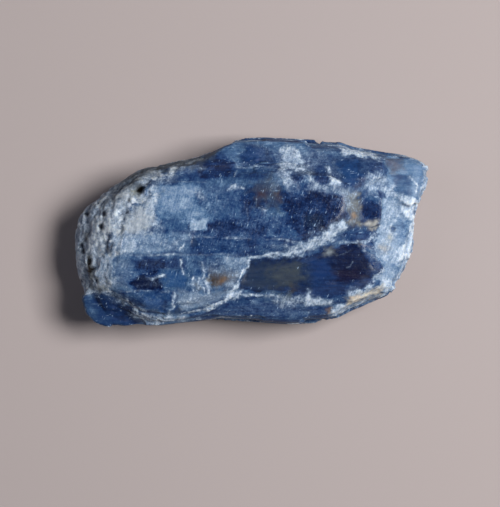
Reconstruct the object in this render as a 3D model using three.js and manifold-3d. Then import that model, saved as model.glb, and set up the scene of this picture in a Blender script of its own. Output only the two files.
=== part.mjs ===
// A hand specimen of kyanite: a cluster of flat blades that grew side by side, with a crust of mica and
// quartz on one end. The blades interlock, so the specimen is one stone and one solid.
//
// Millimetres, +Z up. The blades run along X. The origin is under the middle of the specimen's box, on the
// cleavage face that it rests on, at Z = 0.
import * as THREE from "three";
import { mergeVertices } from "three/addons/utils/BufferGeometryUtils.js";
import Module from "manifold-3d";

const wasm = await Module();
wasm.setup();

// ---- driving dimensions ----
const HEIGHT = 8.9; // highest point of the upper blade above the resting face
const BLADE_SKEW = 0.16; // sideways lean of a blade's long faces, mm per mm of height: kyanite is triclinic
const BELOW = -1; // how far below the resting face a tool solid starts, so that the resting face cuts it

// The specimen seen from above, anticlockwise from the crusted end's tip.
const OUTLINE = [
  [-15.0, -1.1],
  [-14.95, -2.5],
  [-14.7, -3.8],
  [-14.35, -4.6],
  [-14.25, -5.7],
  [-13.95, -6.8],
  [-13.2, -7.6],
  [-11.9, -8.05],
  [-9.9, -8.15],
  [-7.7, -8.1],
  [-4.7, -7.65],
  [-2.7, -7.3],
  [0.3, -7.45],
  [3.2, -7.65],
  [5.9, -7.5],
  [7.2, -7.25],
  [8.4, -6.6],
  [10.0, -5.95],
  [12.0, -5.25],
  [12.35, -4.2],
  [13.2, -2.6],
  [13.6, -1.3],
  [13.75, 0.8],
  [13.9, 2.3],
  [14.6, 3.2],
  [15.2, 4.3],
  [15.25, 5.3],
  [14.7, 6.1],
  [13.4, 6.6],
  [11.0, 6.95],
  [8.5, 7.35],
  [7.5, 7.75],
  [4.0, 7.9],
  [0.8, 8.05],
  [-1.4, 7.95],
  [-2.4, 7.6],
  [-3.6, 6.9],
  [-5.2, 6.4],
  [-7.3, 6.05],
  [-8.2, 5.75],
  [-9.3, 5.7],
  [-11.2, 4.45],
  [-12.5, 3.45],
  [-13.9, 2.45],
  [-14.7, 1.4],
  [-15.0, 0.5],
];

// How the outline draws in with height: [height, share of its length, share of its width, slide along Y].
const GIRTH = [
  [0.0, 0.86, 0.72, 0.4],
  [1.1, 0.94, 0.9, 0.2],
  [3.2, 1.0, 1.0, 0.0],
  [5.4, 0.99, 0.985, 0.0],
  [7.2, 0.95, 0.89, 0.1],
  [HEIGHT + 0.6, 0.85, 0.68, 0.25],
];

// The blades. Each has its outline from above, the height where its underside starts, and its top face, as the
// height at the outline's first point and the slopes along X and Y.
const BLADES = {
  heart: {
    outline: [
      [-13.3, -3.6],
      [-9.0, -6.6],
      [7.0, -6.3],
      [10.6, -4.4],
      [11.3, -1.0],
      [11.5, 3.4],
      [10.8, 5.4],
      [7.0, 6.9],
      [-1.4, 6.7],
      [-7.4, 5.0],
      [-12.0, 2.6],
    ],
    base: BELOW,
    top: { at: 6.1, alongX: 0.0, alongY: 0.0 },
  },
  upper: {
    outline: [
      [-11.5, -1.9],
      [-4.6, -1.8],
      [-0.3, -2.0],
      [3.3, -1.55],
      [6.2, -0.6],
      [7.9, 0.55],
      [8.2, 3.8],
      [6.4, 5.0],
      [2.0, 5.4],
      [-1.0, 5.3],
      [-1.4, 4.4],
      [-3.1, 4.2],
      [-7.9, 4.1],
      [-9.2, 2.7],
      [-10.0, 1.3],
      [-11.2, 0.4],
    ],
    base: BELOW,
    top: { at: HEIGHT - 0.4, alongX: 0.025, alongY: -0.07 },
  },
  step: {
    outline: [
      [7.4, 0.3],
      [9.4, 0.1],
      [10.6, 0.8],
      [10.7, 3.0],
      [9.4, 4.0],
      [7.4, 4.3],
    ],
    base: BELOW,
    top: { at: 8.15, alongX: -0.1, alongY: 0.0 },
  },
  window: {
    outline: [
      [-3.0, 2.0],
      [-3.0, -4.9],
      [1.2, -4.8],
      [4.9, -5.5],
      [6.4, -5.5],
      [7.9, -4.9],
      [10.1, -4.4],
      [10.9, -2.7],
      [10.2, -1.2],
      [9.4, 0.5],
      [7.0, 2.0],
    ],
    base: BELOW,
    top: { at: 7.9, alongX: -0.03, alongY: 0.05 },
  },
  torn_layer: {
    outline: [
      [-11.8, -1.6],
      [-11.8, -4.8],
      [-10.5, -5.5],
      [-9.3, -6.9],
      [-5.8, -6.75],
      [-3.5, -6.1],
      [-1.9, -4.85],
      [-1.2, -4.4],
      [-0.7, -3.1],
      [-0.25, -2.7],
      [-0.25, -1.6],
    ],
    base: BELOW,
    top: { at: 8.0, alongX: 0.02, alongY: 0.13 },
  },
  foot: {
    outline: [
      [-14.6, -4.4],
      [-14.6, -8.4],
      [-7.4, -8.6],
      [-7.4, -4.8],
    ],
    base: 0.9,
    top: { at: 5.6, alongX: 0.04, alongY: 0.22 },
  },
  lower_edge: {
    outline: [
      [-9.0, -6.4],
      [-9.0, -8.4],
      [8.4, -8.4],
      [11.0, -4.6],
      [6.0, -4.4],
      [-6.0, -4.6],
    ],
    base: 0.5,
    top: { at: 6.3, alongX: 0.0, alongY: 0.55 },
  },
  upper_edge: {
    outline: [
      [-1.4, 8.4],
      [-2.3, 6.9],
      [-1.2, 5.1],
      [-1.0, 4.6],
      [2.1, 4.8],
      [8.0, 3.4],
      [11.0, 4.2],
      [11.4, 6.4],
      [9.4, 8.6],
    ],
    base: 1.1,
    top: { at: 5.7, alongX: 0.01, alongY: -0.5 },
  },
  shoulder: {
    outline: [
      [-8.6, 3.8],
      [-0.6, 3.6],
      [-0.8, 6.2],
      [-1.9, 7.8],
      [-6.0, 7.4],
      [-10.4, 6.2],
    ],
    base: 0.8,
    top: { at: 7.9, alongX: 0.02, alongY: -0.42 },
  },
  broken_end: {
    outline: [
      [7.0, 4.4],
      [7.0, 0.8],
      [8.6, -1.4],
      [9.6, -4.4],
      [7.9, -6.0],
      [12.6, -6.0],
      [14.6, -1.0],
      [14.4, 3.4],
      [12.0, 5.8],
      [8.6, 5.4],
    ],
    base: 0.4,
    top: { at: 7.9, alongX: -0.38, alongY: 0.03 },
  },
  knob: {
    outline: [
      [9.8, 7.6],
      [9.9, 5.6],
      [11.6, 3.2],
      [13.2, 1.6],
      [15.9, 2.8],
      [15.9, 6.9],
      [12.6, 7.8],
    ],
    base: 1.9,
    top: { at: 5.5, alongX: -0.06, alongY: -0.26 },
  },
};

// The crust: a lumpy cap of mica and quartz over the blades' left end.
const CRUST = {
  centre: [-9.7, 0.1, 3.3],
  radii: [5.7, 7.6, 4.9],
  lump: 0.045, // share of the radius that its lumps add or take
};

// Broken faces, each a flat cut: a point on it and the direction that it faces.
const BREAKS = [
  { point: [13.4, -2.0, 4.0], facing: [0.97, -0.2, 0.14] },
  { point: [12.1, -5.0, 5.0], facing: [0.42, -0.72, 0.55] },
  { point: [9.2, -6.3, 3.6], facing: [0.42, -0.86, -0.3] },
  { point: [-13.6, -7.1, 5.0], facing: [-0.6, -0.5, 0.62] },
  { point: [15.1, 5.4, 5.4], facing: [0.6, 0.3, 0.74] },
  { point: [-11.0, 5.0, 6.6], facing: [-0.42, 0.54, 0.72] },
  { point: [-13.9, -0.5, 5.9], facing: [-0.74, 0.1, 0.66] },
  { point: [3.0, 8.0, 4.6], facing: [0.02, 0.97, 0.24] },
  { point: [3.0, 7.9, 3.0], facing: [0.05, 0.88, -0.47] },
  { point: [-8.0, 5.95, 3.6], facing: [-0.3, 0.88, -0.38] },
  { point: [-3.0, -7.45, 3.2], facing: [-0.02, -0.93, -0.36] },
  { point: [13.7, 0.4, 2.2], facing: [0.8, -0.2, -0.56] },
];

// ---- solids ----
function solidOf(geometry) {
  const bare = geometry.index ? geometry.toNonIndexed() : geometry.clone();
  bare.deleteAttribute("normal");
  bare.deleteAttribute("uv");
  const merged = mergeVertices(bare, 1e-4);
  return new wasm.Manifold(
    new wasm.Mesh({
      numProp: 3,
      vertProperties: merged.attributes.position.array,
      triVerts: new Uint32Array(merged.index.array),
    }),
  );
}

function geometryOf(solid) {
  const { vertProperties, triVerts, numProp } = solid.getMesh();
  const corners = new Float32Array(triVerts.length * 3);
  triVerts.forEach((vertex, corner) => {
    const start = vertex * numProp;
    corners.set(vertProperties.subarray(start, start + 3), corner * 3);
  });
  const geometry = new THREE.BufferGeometry();
  geometry.setAttribute("position", new THREE.BufferAttribute(corners, 3));
  geometry.computeVertexNormals();
  return geometry;
}

// The whole stone's girth: the outline, drawn in at each height, skinned from one loop to the next and capped.
function girth() {
  const count = OUTLINE.length;
  const points = GIRTH.flatMap(([z, length, width, slide]) =>
    OUTLINE.map(([x, y]) => [x * length, y * width + slide * (width < 1 ? 1 : 0), z]),
  );
  const faces = [];
  for (let loop = 0; loop + 1 < GIRTH.length; loop += 1) {
    for (let i = 0; i < count; i += 1) {
      const a = loop * count + i;
      const b = loop * count + ((i + 1) % count);
      faces.push(a, b, b + count, a, b + count, a + count);
    }
  }
  const rim = OUTLINE.map(([x, y]) => new THREE.Vector2(x, y));
  const top = (GIRTH.length - 1) * count;
  THREE.ShapeUtils.triangulateShape(rim, []).forEach(([a, b, c]) => {
    faces.push(c, b, a, top + a, top + b, top + c);
  });
  const geometry = new THREE.BufferGeometry();
  geometry.setAttribute("position", new THREE.Float32BufferAttribute(points.flat(), 3));
  geometry.setIndex(faces);
  return solidOf(geometry);
}

// A blade: its outline raised from its underside to a tilted top face, leaning a little as it rises.
function blade({ outline, base, top }) {
  const shape = new THREE.Shape(outline.map(([x, y]) => new THREE.Vector2(x, y)));
  const geometry = new THREE.ExtrudeGeometry(shape, { depth: 1, bevelEnabled: false });
  const position = geometry.attributes.position;
  const [x0, y0] = outline[0];
  for (let i = 0; i < position.count; i += 1) {
    const x = position.getX(i);
    const y = position.getY(i);
    const raised = position.getZ(i) > 0.5;
    const z = raised ? top.at + (x - x0) * top.alongX + (y - y0) * top.alongY : base;
    position.setXYZ(i, x, y + (z - top.at) * BLADE_SKEW, z);
  }
  return solidOf(geometry);
}

// The crust's cap: a ball stretched to its radii, with soft lumps.
function crust() {
  const geometry = new THREE.IcosahedronGeometry(1, 7);
  const position = geometry.attributes.position;
  const place = new THREE.Vector3();
  for (let i = 0; i < position.count; i += 1) {
    place.fromBufferAttribute(position, i);
    const lumps =
      Math.sin(place.x * 7 + place.y * 3) * Math.cos(place.y * 6 - place.z * 4) +
      Math.sin(place.z * 9 + place.x * 5) * 0.6;
    place.multiplyScalar(1 + lumps * CRUST.lump);
    position.setXYZ(
      i,
      CRUST.centre[0] + place.x * CRUST.radii[0],
      CRUST.centre[1] + place.y * CRUST.radii[1],
      CRUST.centre[2] + place.z * CRUST.radii[2],
    );
  }
  return solidOf(geometry);
}

// What a break takes away: a large block whose face lies on the break.
function broken({ point, facing }) {
  const size = 40;
  const block = new THREE.BoxGeometry(size, size, size).translate(0, 0, size / 2);
  const turn = new THREE.Quaternion().setFromUnitVectors(
    new THREE.Vector3(0, 0, 1),
    new THREE.Vector3(...facing).normalize(),
  );
  block.applyQuaternion(turn).translate(...point);
  return solidOf(block);
}

function cluster() {
  const grown = Object.values(BLADES)
    .map(blade)
    .reduce((all, next) => all.add(next), crust());
  const within = grown.intersect(girth());
  return BREAKS.reduce((stone, cut) => stone.subtract(broken(cut)), within);
}

// ---- the specimen ----
const kyanite = new THREE.MeshStandardMaterial({ color: "#3b5c8c", roughness: 0.42, metalness: 0 });
const stone = new THREE.Mesh(geometryOf(cluster()), kyanite);
stone.name = "kyanite_cluster";

const specimen = new THREE.Group();
specimen.add(stone);

export default specimen;
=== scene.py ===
# %% [markdown]
# # A kyanite blade cluster
# Kyanite grows as long flat blades, side by side, and this specimen is about 30 mm of them, broken off at
# the right end and capped with a grey crust of mica and quartz at the left end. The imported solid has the
# blades at their real size and place. This lesson puts a fine skin over it, carves that skin the way such a
# stone breaks, and then colours it. Every size is in mm until the skin is done.

import bpy
import numpy as np
from mathutils import Matrix, Vector


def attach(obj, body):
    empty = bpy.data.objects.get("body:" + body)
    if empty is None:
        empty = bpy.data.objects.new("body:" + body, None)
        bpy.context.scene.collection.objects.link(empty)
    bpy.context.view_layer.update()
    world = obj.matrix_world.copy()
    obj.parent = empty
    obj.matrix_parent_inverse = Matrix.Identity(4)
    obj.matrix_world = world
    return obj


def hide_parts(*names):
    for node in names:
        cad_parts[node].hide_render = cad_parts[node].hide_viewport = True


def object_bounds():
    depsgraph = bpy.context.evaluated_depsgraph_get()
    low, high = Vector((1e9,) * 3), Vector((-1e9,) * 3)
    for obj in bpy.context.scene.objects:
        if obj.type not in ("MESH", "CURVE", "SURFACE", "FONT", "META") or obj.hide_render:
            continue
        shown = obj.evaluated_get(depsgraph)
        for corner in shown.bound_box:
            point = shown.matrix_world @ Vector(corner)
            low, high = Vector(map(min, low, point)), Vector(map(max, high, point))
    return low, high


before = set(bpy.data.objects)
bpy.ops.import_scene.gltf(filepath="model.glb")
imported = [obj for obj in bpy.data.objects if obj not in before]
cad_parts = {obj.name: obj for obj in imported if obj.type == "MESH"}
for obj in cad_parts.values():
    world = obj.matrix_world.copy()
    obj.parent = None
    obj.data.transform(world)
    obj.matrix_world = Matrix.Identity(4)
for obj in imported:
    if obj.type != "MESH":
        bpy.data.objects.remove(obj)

MM = 0.001
cad_low, cad_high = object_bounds()
print("the stone in mm:", [round(side / MM, 2) for side in cad_high - cad_low])

# %% [markdown]
# ## Chance that repeats
# A natural surface is uneven at every size. Python's own random numbers would give another stone on each run,
# so every uneven thing here comes from a hash: a sum that turns whole numbers into a number between 0 and 1
# which looks like chance and is always the same.

# %% Numbers that look like chance
HASH_FACTOR = np.uint64(0x9E3779B97F4A7C15)


def chance(seed, *whole):
    """A number from 0 to 1 for each combination of whole numbers, the same on every run."""
    mixed = np.full(np.shape(whole[0]), seed * 7919 + 17, np.uint64)
    for part in whole:
        mixed = (mixed ^ np.asarray(part).astype(np.int64).astype(np.uint64)) * HASH_FACTOR
        mixed ^= mixed >> np.uint64(31)
    return (mixed >> np.uint64(40)).astype(float) / (1 << 24)


print("three chances:", chance(1, np.arange(3)).round(3))

# %% [markdown]
# ## Ripples
# Two patterns carve nearly everything. The first is ripples, which is gradient noise: smooth hills and
# hollows of a chosen size, with smaller ones on them. A size for each axis stretches them along the blades.

# %% Ripples
FINER = 2.03  # how much smaller each next set of hills is
leanings = np.random.default_rng(3).normal(size=(256, 3))  # the ways that a slope can lean
leanings /= np.linalg.norm(leanings, axis=1)[:, None]


def ripple(places, size, seed, octaves=3):
    """Uneven ground from about -1 to 1. size is the width of its hills in mm, or one width per axis."""
    spot = places / np.asarray(size, float) + seed * 17.31
    total, share = np.zeros(len(places)), 1.0
    for _ in range(octaves):
        cell = np.floor(spot).astype(np.int64)
        local = spot - cell
        ease = local**3 * (local * (local * 6 - 15) + 10)
        for corner in np.ndindex(2, 2, 2):
            at = cell + corner
            lean = leanings[(chance(seed, at[:, 0], at[:, 1], at[:, 2]) * 256).astype(int)]
            weight = np.prod(np.where(np.array(corner) == 1, ease, 1 - ease), axis=1)
            total += share * weight * ((local - corner) * lean).sum(1)
        share *= 0.5
        spot = spot * FINER + 11.7
    return total * 1.5


print("ripples at three places:", ripple(np.eye(3), 2.0, 1).round(2))

# %% [markdown]
# ## Grains
# The second pattern is cells with a middle at a chance place in each. Every point learns how far it is from
# the middle of the nearest grain, and a number that all of that grain shares, so a whole grain can be
# lighter, darker or deeper than the next one.

# %% Grains
def grains(places, size, seed):
    """For each point: the distance to the nearest grain's middle, and that grain's number."""
    spot = places / np.asarray(size, float)
    cell = np.floor(spot).astype(np.int64)
    nearest = np.full(len(places), 9.0)
    number = np.zeros(len(places))
    for step in np.ndindex(3, 3, 3):
        home = cell + np.array(step) - 1
        middle = home + np.stack([chance(seed + k, *home.T) for k in range(3)], 1)
        gap = np.linalg.norm(spot - middle, axis=1)
        number = np.where(gap < nearest, chance(seed + 3, *home.T), number)
        nearest = np.minimum(gap, nearest)
    return nearest, number


def ramp(value, start, end):
    """0 below start, 1 above end, and a soft slope between."""
    t = np.clip((value - start) / (end - start), 0, 1)
    return t * t * (3 - 2 * t)


print("the grains of three places:", grains(np.eye(3), 2.0, 1)[1].round(2))

# %% [markdown]
# ## Change and read a mesh
# A modifier is the easy way to rebuild a mesh, but it needs an object to sit on. The first helper lends the
# mesh to an object, adds the modifier, and keeps what comes out. The second reads one value of every point
# or edge into rows for numpy, which is far quicker than a loop over the points.

# %% Helpers for meshes
def changed(mesh, kind, group=(), **settings):
    """A new mesh: the given one after a modifier, which may work on a group of its points."""
    piece = bpy.data.objects.new("rough", mesh)
    bpy.context.collection.objects.link(piece)
    modifier = piece.modifiers.new("change", kind)
    if group:
        modifier.vertex_group = "chosen points"
        piece.vertex_groups.new(name="chosen points").add(group, 1.0, "REPLACE")
    for name, value in settings.items():
        setattr(modifier, name, value)
    result = bpy.data.meshes.new_from_object(piece.evaluated_get(bpy.context.evaluated_depsgraph_get()))
    bpy.data.objects.remove(piece)
    return result


def read(items, name, width, kind=float):
    """One value of every vertex or edge of a mesh, as rows."""
    flat = np.empty(len(items) * width, kind)
    items.foreach_get(name, flat)
    return flat.reshape(-1, width)


# %% [markdown]
# ## A fine skin
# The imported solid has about 2000 large triangles. A voxel remesh wraps it in even faces a tenth of a
# millimetre wide, fine enough to carve. Little is carved on the resting face and the underside, so Decimate
# merges faces there, and the faces go where they show. Squashing the solid while it is wrapped makes the
# faces on its sides a little taller, which saves more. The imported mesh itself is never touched: a copy is
# wrapped.

# %% Wrap the solid in a fine skin
FACE_WIDTH = 0.102
SQUASH = 0.7
FACES_DOWN = -0.5  # a point whose normal has a z below this is on the underside
MOST_TRIANGLES = 196000

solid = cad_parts["kyanite_cluster"].data.copy()
solid.transform(Matrix.Diagonal((1 / MM, 1 / MM, SQUASH / MM, 1)))
wrapped = changed(solid, "REMESH", mode="VOXEL", voxel_size=FACE_WIDTH)
wrapped.transform(Matrix.Diagonal((1, 1, 1 / SQUASH, 1)))
underside = [point.index for point in wrapped.vertices if point.normal.z < FACES_DOWN]
kept_share = MOST_TRIANGLES / (2 * len(wrapped.polygons))
skin = changed(wrapped, "DECIMATE", underside, ratio=kept_share)
skin.shade_smooth()
base = read(skin.vertices, "co", 3)
triangles = sum(len(face.vertices) - 2 for face in skin.polygons)
print("skin:", len(base), "points,", triangles, "triangles")

# %% [markdown]
# ## Smoothing over the skin
# Wear, and the search for edges later on, both compare a point with the points around it. So one helper
# averages any value with its neighbours' along the skin's edges. Each round reaches one face further.

# %% Average with the neighbours
edges = read(skin.edges, "vertices", 2, np.int64)


def smoothed(values, rounds, share=1.0):
    """Values averaged with their neighbours' over the skin, several times."""
    a, b = np.concatenate([edges, edges[:, ::-1]]).T
    count = np.bincount(a, minlength=len(base))
    out = values.reshape(len(base), -1).astype(float)
    for _ in range(rounds):
        near = np.stack([np.bincount(a, out[b, k], len(base)) / count for k in range(out.shape[1])], 1)
        out = out + (near - out) * share
    return out.reshape(values.shape)


print("one round moves a point by up to", abs(smoothed(base, 1) - base).max().round(2), "mm")

# %% [markdown]
# ## Where things are
# Most of what makes this stone itself lies on its top: blades of different blues, a smooth dark window, a
# torn layer, frosted breaks. Each is an outline or a line, seen from above, with the stone's middle at 0, 0.
# Two helpers say how far inside an outline, or how far from a line, every point is.

# %% Measure from outlines and lines
def gaps_to(points, starts, ends):
    """Distances from points to each of several straight pieces, all seen from above."""
    along = ends - starts
    from_start = points[:, None, :2] - starts
    t = np.clip((from_start * along).sum(2) / (along**2).sum(1), 0, 1)
    return np.linalg.norm(from_start - along * t[..., None], axis=2)


def inside_by(points, outline):
    """How far inside an outline points lie, in mm, below 0 outside it."""
    starts = np.array(outline, float)
    ends = np.roll(starts, -1, 0)
    x, y = points[:, :1], points[:, 1:2]
    spans = (starts[:, 1] <= y) != (ends[:, 1] <= y)
    rise = np.where(ends[:, 1] == starts[:, 1], 1.0, ends[:, 1] - starts[:, 1])
    left_of = x < (ends[:, 0] - starts[:, 0]) * (y - starts[:, 1]) / rise + starts[:, 0]
    sign = np.where((spans & left_of).sum(1) % 2 == 1, 1.0, -1.0)
    return sign * gaps_to(points, starts, ends).min(1)


def from_line(points, line):
    """How far points lie from a line through several places, in mm."""
    places = np.array(line, float)
    return gaps_to(points, places[:-1], places[1:]).min(1)


square = [(-1, -1), (1, -1), (1, 1), (-1, 1)]
print("the middle of a 2 mm square is inside it by", inside_by(np.zeros((1, 3)), square)[0], "mm")

# %% [markdown]
# ## Wear the steps down
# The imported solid's blades end in straight steps. On the real stone they are worn or broken to rough slopes.
# Smoothing the skin's own points does that, so it is done a little all over, and fully where the end is
# broken, where the crust climbs over the blades, and along the edges of the blades.

# %% Wear the steps down
WORN_ROUNDS = 70
WORN_LEAST, WORN_MOST = 0.3, 0.8  # all over, and beside an edge
WORN_WIDTH = 1.1  # mm to each side of an edge
WORN_FROM, WORN_FULLY = 1.5, 3.0  # mm above the floor
WORN_ZONES = [
    [(9, 8), (9, 3.4), (10.9, 3.2), (11, -3.9), (9.6, -5.2), (9, -8), (16, -8), (16, 8)],
    [(-16, 8), (-16, -5), (-10.8, -5), (-10.9, 0.2), (-9.6, 1.6), (-8.6, 3), (-7.4, 4.6), (-7, 8)],
]
SLUMPED_LINES = [
    [(-0.2, -2), (1.8, -1.8), (3.4, -1.5), (4.9, -1), (6.2, -0.5), (7.9, 0.5), (9.2, 0)],
    [(-11.5, -1.8), (-4.6, -1.8), (-0.3, -2)],
    [(-8, 4.1), (-3, 4.2), (-1.4, 4.5), (-1, 5.3), (3, 5.4)],
    [(-11, -5), (-9.5, -6.9), (-5.8, -6.8), (-3.5, -6.1), (-1.9, -4.9)],
    [(-1, -5), (1.2, -4.9), (4.9, -5.5), (6.4, -5.5), (8, -4.9), (10.1, -4.4)],
]
SHARPER_LINE = [(7.9, 0.5), (8.2, 2), (8.2, 3.8), (6.4, 5), (3, 5.3)]

worn = np.full(len(base), WORN_LEAST)
for outline in WORN_ZONES:
    worn = np.maximum(worn, ramp(inside_by(base, outline), -0.8, 0.3))
for line in SLUMPED_LINES + [SHARPER_LINE]:
    worn = np.maximum(worn, WORN_MOST * ramp(WORN_WIDTH - from_line(base, line), 0.0, 0.6))
worn *= ramp(base[:, 2], WORN_FROM, WORN_FULLY)
base += (smoothed(base, WORN_ROUNDS) - base) * worn[:, None]
print("worn share of the skin:", round(float((worn > 0.6).mean()), 2))

# %% [markdown]
# ## Slumped slopes and a flat hollow
# Most of the steps on top have crumbled to long slopes, so along them the skin is smoothed once more, for
# longer. A fresh break near the right end left a small flat hollow, and pulling its points to one level
# keeps its floor as smooth as a cleavage face.

# %% Slump the steps and flatten the hollow
SLUMP_ROUNDS = 110
SLUMP_WIDTH = 1.4  # mm to each side of an edge
SLUMP_FROM, SLUMP_FULLY = 3.0, 4.5  # mm above the floor
HOLLOW_LEVEL = 7.6
HOLLOW_FROM, HOLLOW_FULLY = 6.6, 7.4
HOLLOW = [(8.5, 2.6), (9.3, 3.6), (11, 3.1), (11, 1.2), (9.9, 0.6), (8.7, 0.9)]

slumped = np.zeros(len(base))
for line in SLUMPED_LINES:
    slumped = np.maximum(slumped, ramp(SLUMP_WIDTH - from_line(base, line), 0.0, 0.9))
slumped *= ramp(base[:, 2], SLUMP_FROM, SLUMP_FULLY)
base += (smoothed(base, SLUMP_ROUNDS) - base) * slumped[:, None]
in_hollow = ramp(inside_by(base, HOLLOW), -0.3, 0.4) * ramp(base[:, 2], HOLLOW_FROM, HOLLOW_FULLY)
base[:, 2] += (HOLLOW_LEVEL - base[:, 2]) * in_hollow
skin.vertices.foreach_set("co", base.ravel())
skin.update()
print("slumped share of the skin:", round(float((slumped > 0.6).mean()), 2))

# %% [markdown]
# ## Which way the skin faces
# Tops, sides, ends and the underside of a blade break in different ways. The direction that the skin faces
# tells them apart. It is smoothed first, so that a small bump doesn't count as a side.

# %% Tell tops, sides and ends apart
BROAD_ROUNDS = 9

facing = read(skin.vertices, "normal", 3)
broad = smoothed(facing, BROAD_ROUNDS)
broad /= np.linalg.norm(broad, axis=1)[:, None]
x, y, z = base.T
upward = ramp(broad[:, 2], 0.25, 0.7)
downward = ramp(-broad[:, 2], 0.3, 0.8)
sideways = ramp(np.abs(broad[:, 1]), 0.35, 0.8)
endways = ramp(np.abs(broad[:, 0]), 0.35, 0.8)
print("share that faces up:", round(float(upward.mean()), 2))

# %% [markdown]
# ## Where the crust begins
# The crust covers the left end. Its border is a line with an x for each y, moved to and fro by ripples so
# that it doesn't look cut.

# %% The crust's border
BORDER_WANDER, BORDER_SOFTNESS = 1.3, 0.6
CRUST_EDGE = [  # y, then x
    (-8.2, -15.6), (-5.3, -14.3), (-4.9, -11.9), (-4.3, -12.4), (-3.5, -13), (-2.6, -13), (-1.9, -11.9),
    (-1, -11.6), (-0.2, -11.3), (1.4, -10.3), (2.6, -8.9), (4.3, -7.9), (5.3, -6.9), (6.3, -4.6),
    (7.5, -3.6),
]
crust_y, crust_x = np.array(CRUST_EDGE).T
into_crust = np.interp(y, crust_y, crust_x) - x + BORDER_WANDER * ripple(base, 1.1, 21)
crust = ramp(into_crust, -BORDER_SOFTNESS, BORDER_SOFTNESS)
print("crusted share of the skin:", round(float(crust.mean()), 2))

# %% [markdown]
# ## Split the faces into layers
# A blade's sides are stacks of thin layers, and each layer broke off at its own length. Cells do this: the
# side is split into long rows, the rows into lengths, and every cell gets numbers of its own. Bent rows
# look more like torn layers than straight ones, so sines and ripples bend them.

# %% Split the faces into layers
def layers(along, across, length, width, seed, ragged=0.12):
    """Splits a face into long cells: three numbers of each point's cell, and its place across the cell."""
    wobble = ragged * ripple(base, (2.0, 0.5, 0.5), seed + 50)
    row = across / width + 0.32 * np.sin(across * 1.9 / width + seed) + wobble
    shift = chance(seed, np.floor(row)) * 7.3
    column = along / length + shift + 0.3 * np.sin(along * 2.3 / length + shift * 5) + wobble * 1.5
    cell = np.floor(row), np.floor(column)
    return [chance(seed + k, *cell) for k in (1, 2, 3)], row - cell[0]


side_cells, side_v = layers(x, z, length=5.5, width=0.95, seed=31)
end_cells, _ = layers(z, y, length=1.3, width=0.75, seed=37)
under_cells, _ = layers(x, y, length=6.5, width=1.3, seed=41)
top_cells, _ = layers(x, y, length=4.0, width=0.7, seed=43)
print("the first points of the side:", side_cells[0][:3].round(2))

# %% [markdown]
# ## Carve the layers
# Every cell is set back by its own amount, so the sides come out stepped. Low on the sides the cells go
# deeper. Across the broken right end they stand upright, as splinters. The crust hides most of this. The
# blades swell a little first, or carving would make the whole stone smaller.

# %% Carve the layers
SIDE_DEPTH = 0.38
LOW_SIDE_BELOW, LOW_SIDE_DEPTH = 5.0, 0.4
SPLINTER_DEPTH, SPLINTERS_FROM, SPLINTERS_FULLY = 0.5, 10.8, 12.0
UNDERSIDE_DEPTH = 0.25
HIDDEN_BY_CRUST = 0.75
SWELL = 0.05

side_depth = SIDE_DEPTH + LOW_SIDE_DEPTH * ramp(LOW_SIDE_BELOW - z, 0.0, 1.5)
set_back = sideways * (side_cells[0] ** 1.3 * side_depth + (side_v - 0.5) * (side_cells[1] - 0.3) * 0.22)
broken_end = endways * (1 - crust) * ramp(x, SPLINTERS_FROM, SPLINTERS_FULLY)
set_back += broken_end * (end_cells[0] ** 1.4 * SPLINTER_DEPTH + 0.15 * np.abs(ripple(base, 0.45, 61)))
set_back += downward * (z > 0.25) * (under_cells[0] * UNDERSIDE_DEPTH)
set_back *= 1 - HIDDEN_BY_CRUST * crust
set_back -= SWELL * (1 - crust)
print("layers carved up to", round(set_back.max(), 2), "mm deep")

# %% [markdown]
# ## Carve the crust
# The crust is a skin of mica flakes and quartz grains over the blades' ends. Big lumps come first, then
# knobs of nearly a millimetre, then grains of about half a millimetre with gaps where some fell out, then
# a finer grain on those. Each has its width and its depth in mm.

# %% Carve the crust
LUMP, LUMP_DEPTH = 1.7, 0.24
KNOB, KNOB_DEPTH = 0.85, 0.1
GRAIN, GRAIN_DEPTH = 0.5, 0.05
FINE_GRAIN, FINE_DEPTH = 0.26, 0.06
GAP, GAP_DEPTH = 0.7, 0.14
DEEPEST = 1.2

near_grain, grain_number = grains(base + 0.4 * ripple(base, 0.7, 71)[:, None], GRAIN, 73)
fine_grain, fine_number = grains(base + 0.1 * ripple(base, 0.4, 72)[:, None], FINE_GRAIN, 77)
lumps = ripple(base, LUMP, 79)
gaps = ramp(ripple(base, GAP, 81, 2), 0.42, 0.8)
knobs = ripple(base, KNOB, 83)
crust_depth = GRAIN_DEPTH * ramp(near_grain, 0.2, 0.8) + FINE_DEPTH * fine_grain
crust_depth += LUMP_DEPTH * ramp(-lumps, -0.2, 0.9) + KNOB_DEPTH * ramp(-knobs, -0.1, 0.7)
set_back += crust * (crust_depth + GAP_DEPTH * gaps)

depth = smoothed(np.clip(set_back, -SWELL, DEEPEST), 1, 0.7)
print("carved up to", round(depth.max(), 2), "mm deep")

# %% [markdown]
# ## Blues
# The blue of kyanite lies in cloudy zones inside the crystal, so its borders are soft. Each entry is one
# zone: its outline, how pale it is (0 ink to 1 ice) and how wide its border is in mm. A later zone is laid
# over an earlier one.

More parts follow.
